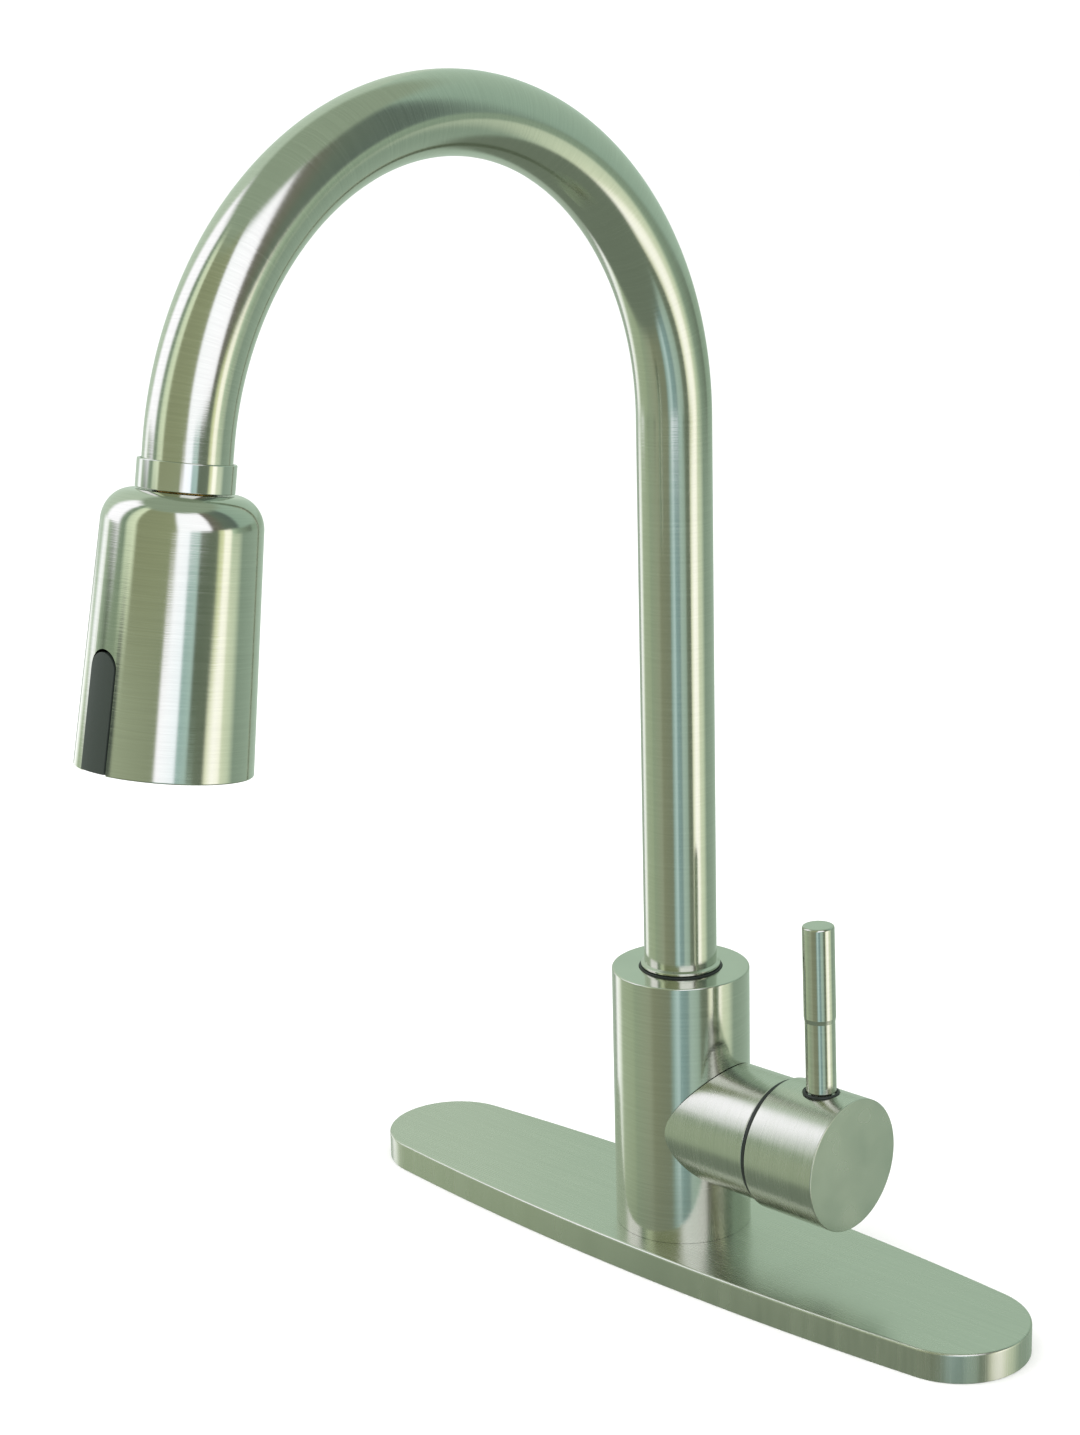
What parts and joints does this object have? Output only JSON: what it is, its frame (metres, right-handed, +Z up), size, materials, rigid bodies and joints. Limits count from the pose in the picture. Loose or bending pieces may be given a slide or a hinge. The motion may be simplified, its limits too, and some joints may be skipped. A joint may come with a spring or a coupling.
{
  "type": "pull down kitchen faucet",
  "caption": "High-arc kitchen faucet with a pull-down spray head, a side lever valve and a long deck plate, clamped through a deck hole.",
  "frame": {"origin": "centre of the deck hole, on the deck's surface", "axes": "+Z up along the body and the shank, -Y the way the spout reaches, +X towards the handle"},
  "size_m": [0.26, 0.2495, 0.4627],
  "materials": {
    "brushed_nickel": "brushed, satin",
    "polished_nickel": "polished",
    "brass": "machined",
    "stainless_steel": "stamped, satin",
    "black_rubber": "moulded, matt",
    "black_plastic": "moulded, satin",
    "grey_plastic": "moulded, satin",
    "white_plastic": "moulded, satin",
    "ceramic": "lapped",
    "hose_braid": "woven nylon over a tube",
    "copper": "drawn"
  },
  "bodies": {
    "base": {"deck_gasket": "black_rubber", "deck_plate_insert": "grey_plastic", "deck_plate": "brushed_nickel", "base_seal": "black_rubber", "body_shell": "brushed_nickel", "valve_core": "brass", "spout_socket": "brass", "lower_bush": "white_plastic", "upper_bush": "white_plastic", "lower_spout_seal": "black_rubber", "upper_spout_seal": "black_rubber", "trim_ring": "black_rubber", "shank": "brass", "hot_inlet": "copper", "cold_inlet": "copper", "mixed_outlet": "copper", "valve_housing": "brushed_nickel", "cartridge_seal": "black_rubber", "cartridge_base": "grey_plastic", "cartridge_body": "grey_plastic", "fixed_disc": "ceramic", "cartridge_nut": "brass", "gap_ring": "black_rubber"},
    "clamp": {"rubber_washer": "black_rubber", "steel_washer": "stainless_steel", "mounting_nut": "brass"},
    "spout": {"spout_tube": "brushed_nickel", "spout_ferrule": "brushed_nickel", "retaining_ring": "stainless_steel", "docking_collar": "polished_nickel", "dock_sleeve": "black_plastic", "spray_hose": "hose_braid", "hose_end_fitting": "brass"},
    "hose_end": {"hose_nut": "brass"},
    "spray_head": {"spray_neck": "brass", "check_valve": "white_plastic", "neck_seal": "black_rubber", "spray_shell": "brushed_nickel", "spray_core": "black_plastic", "rocker_pin": "stainless_steel", "nozzle_plate": "black_plastic", "nozzle_ring": "grey_plastic", "aerator": "white_plastic"},
    "rocker": {"mode_rocker": "black_plastic"},
    "spool": {"diverter_spool": "white_plastic"},
    "carrier": {"stem_carrier": "white_plastic", "stem_pin": "stainless_steel"},
    "handle": {"stem": "stainless_steel", "handle_hub": "brushed_nickel", "lever": "brushed_nickel", "lever_oring": "black_rubber", "set_screw": "stainless_steel"},
    "disc": {"moving_disc": "ceramic"}
  },
  "joints": [
    {"name": "spout_swivel", "type": "hinge", "parent": "base", "child": "spout", "pos_m": [0, 0, 0.08], "axis": [0, 0, 1], "range_deg": [-180, 180]},
    {"name": "spray_pull", "type": "slide", "parent": "spout", "child": "hose_end", "axis": [0, -0.1702, -0.9854], "range_m": [0, 0.45]},
    {"name": "spray_spin", "type": "hinge", "parent": "hose_end", "child": "spray_head", "pos_m": [0, -0.18401, 0.28652], "axis": [0, -0.1702, -0.9854], "continuous": true},
    {"name": "rocker_tilt", "type": "hinge", "parent": "spray_head", "child": "rocker", "pos_m": [0, -0.21036, 0.22207], "axis": [1, 0, 0], "range_deg": [-4, 4]},
    {"name": "spool_slide", "type": "slide", "parent": "spray_head", "child": "spool", "axis": [0, -0.9854, 0.1702], "range_m": [-0.0008, 0.0008]},
    {"name": "mix_turn", "type": "hinge", "parent": "base", "child": "carrier", "pos_m": [0.029, 0, 0.04695], "axis": [1, 0, 0], "range_deg": [-45, 45]},
    {"name": "flow_tilt", "type": "hinge", "parent": "carrier", "child": "handle", "pos_m": [0.029, 0, 0.04695], "axis": [0, 1, 0], "range_deg": [0, 18]},
    {"name": "disc_slide", "type": "slide", "parent": "carrier", "child": "disc", "axis": [0, 0, 1], "range_m": [0, 0.0015]},
    {"name": "nut_travel", "type": "slide", "parent": "base", "child": "clamp", "axis": [0, 0, 1], "range_m": [-0.018, 0.022]}
  ],
  "couplings": [
    {"joint": "spool_slide", "follows": "rocker_tilt", "m_per_rad": 0.011},
    {"joint": "disc_slide", "follows": "flow_tilt", "m_per_rad": 0.0046}
  ]
}
